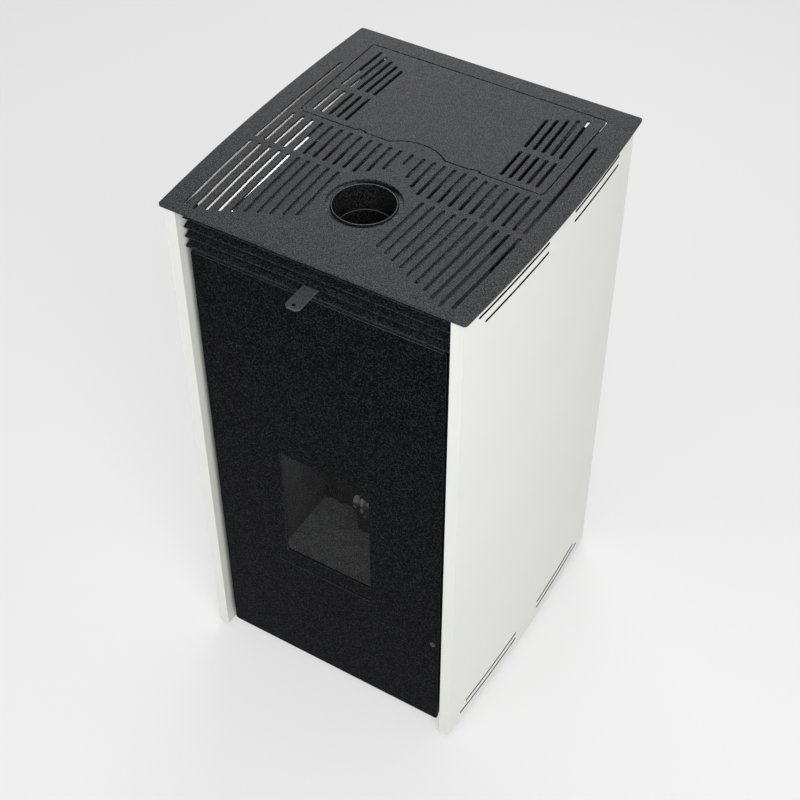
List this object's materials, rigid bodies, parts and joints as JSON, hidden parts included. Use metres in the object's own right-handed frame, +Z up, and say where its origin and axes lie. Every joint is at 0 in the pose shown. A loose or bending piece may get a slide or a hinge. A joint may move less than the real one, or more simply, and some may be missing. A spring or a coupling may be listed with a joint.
{
  "type": "pellet stove",
  "caption": "Free-standing pellet stove with a slotted top plate, flush hopper lid, top flue collar, bowed side panels, louvred front and a full-height glazed door with a small window.",
  "frame": {"origin": "on the floor, under the middle of the whole stove, with the scraper pull and the air pipe counted", "axes": "+Z up, the door faces -Y, +X is right as seen from the front"},
  "size_m": [0.448, 0.512, 0.84],
  "materials": {
    "panel": "warm off-white satin powder coat",
    "anthracite": "anthracite fine-textured powder coat",
    "black": "matt black stove paint",
    "glass": "glossy black-printed ceramic glass",
    "rope": "braided glass-fibre rope",
    "steel": "bare steel",
    "galvanised": "zinc-coated sheet",
    "cast_iron": "raw cast iron",
    "brick": "vermiculite board",
    "plastic": "moulded black plastic",
    "board": "green circuit board"
  },
  "bodies": {
    "casing": {"top_plate": "anthracite", "left_side_panel": "panel", "right_side_panel": "panel", "back_panel": "black", "front_louvre": "black", "front_frame": "black", "convection_jacket": "anthracite", "base_pan": "galvanised", "levelling_foot_1": "plastic", "levelling_foot_2": "plastic", "levelling_foot_3": "plastic", "levelling_foot_4": "plastic", "lid_hinge_bracket_left": "black", "lid_hinge_bracket_right": "black", "lid_hinge_pin_left": "steel", "lid_hinge_pin_right": "steel", "door_hinge_bracket_lower": "black", "door_hinge_bracket_upper": "black", "door_hinge_pin_lower": "steel", "door_hinge_pin_upper": "steel", "latch_keeper": "steel", "firebox": "black", "back_lining": "brick", "baffle_plate": "brick", "igniter": "steel", "ash_compartment": "galvanised", "smoke_box": "black", "exchanger_fins": "steel", "extractor_housing": "galvanised", "extractor_motor": "plastic", "flue_collar": "black", "hopper": "anthracite", "hopper_funnel": "galvanised", "hopper_throat": "galvanised", "hopper_grid": "steel", "pellet_chute": "black", "auger_tube": "galvanised", "auger_gearmotor": "plastic", "blower_housing": "galvanised", "blower_motor": "plastic", "air_intake_pipe": "galvanised", "control_board": "board", "power_inlet": "plastic", "safety_thermostat": "plastic"},
    "lid": {"hopper_lid": "anthracite", "lid_hinge_arm_left": "black", "lid_hinge_arm_right": "black"},
    "door": {"door_glass": "glass", "door_frame": "black", "door_gasket": "rope"},
    "latch": {"latch_spindle": "steel"},
    "drawer": {"ash_drawer": "galvanised"},
    "scraper": {"scraper_pull": "anthracite", "scraper_comb": "steel"},
    "pot": {"burn_pot": "cast_iron"},
    "auger": {"auger_screw": "steel"},
    "impeller": {"extractor_impeller": "steel"},
    "rotor": {"blower_rotor": "steel"},
    "switch": {"power_switch": "plastic"}
  },
  "joints": [
    {"name": "lid_hinge", "type": "hinge", "parent": "casing", "child": "lid", "pos_m": [0, 0.221, 0.8325], "axis": [-1, 0, 0], "range_deg": [0, 80]},
    {"name": "door_hinge", "type": "hinge", "parent": "casing", "child": "door", "pos_m": [-0.176, -0.202, 0.35], "axis": [0, 0, -1], "range_deg": [0, 100]},
    {"name": "latch_turn", "type": "hinge", "parent": "door", "child": "latch", "pos_m": [0.174, -0.2, 0.2], "axis": [0, -1, 0], "range_deg": [0, 90]},
    {"name": "drawer_slide", "type": "slide", "parent": "casing", "child": "drawer", "axis": [0, -1, 0], "range_m": [0, 0.11]},
    {"name": "scraper_slide", "type": "slide", "parent": "casing", "child": "scraper", "axis": [0, -1, 0], "range_m": [0, 0.035]},
    {"name": "pot_lift", "type": "slide", "parent": "casing", "child": "pot", "axis": [0, 0, 1], "range_m": [0, 0.05]},
    {"name": "auger_spin", "type": "hinge", "parent": "casing", "child": "auger", "pos_m": [0, 0.111, 0.375], "axis": [0, 0.766, -0.6428], "continuous": true},
    {"name": "impeller_spin", "type": "hinge", "parent": "casing", "child": "impeller", "pos_m": [-0.04, -0.07, 0.655], "axis": [0, 1, 0], "continuous": true},
    {"name": "rotor_spin", "type": "hinge", "parent": "casing", "child": "rotor", "pos_m": [-0.087, 0.116, 0.085], "axis": [1, 0, 0], "continuous": true},
    {"name": "switch_rock", "type": "hinge", "parent": "casing", "child": "switch", "pos_m": [-0.151, 0.2213, 0.1], "axis": [1, 0, 0], "range_deg": [0, 12]}
  ],
  "couplings": [
    {"joint": "drawer_slide", "follows": "door_hinge", "m_per_rad": 0.0625}
  ]
}
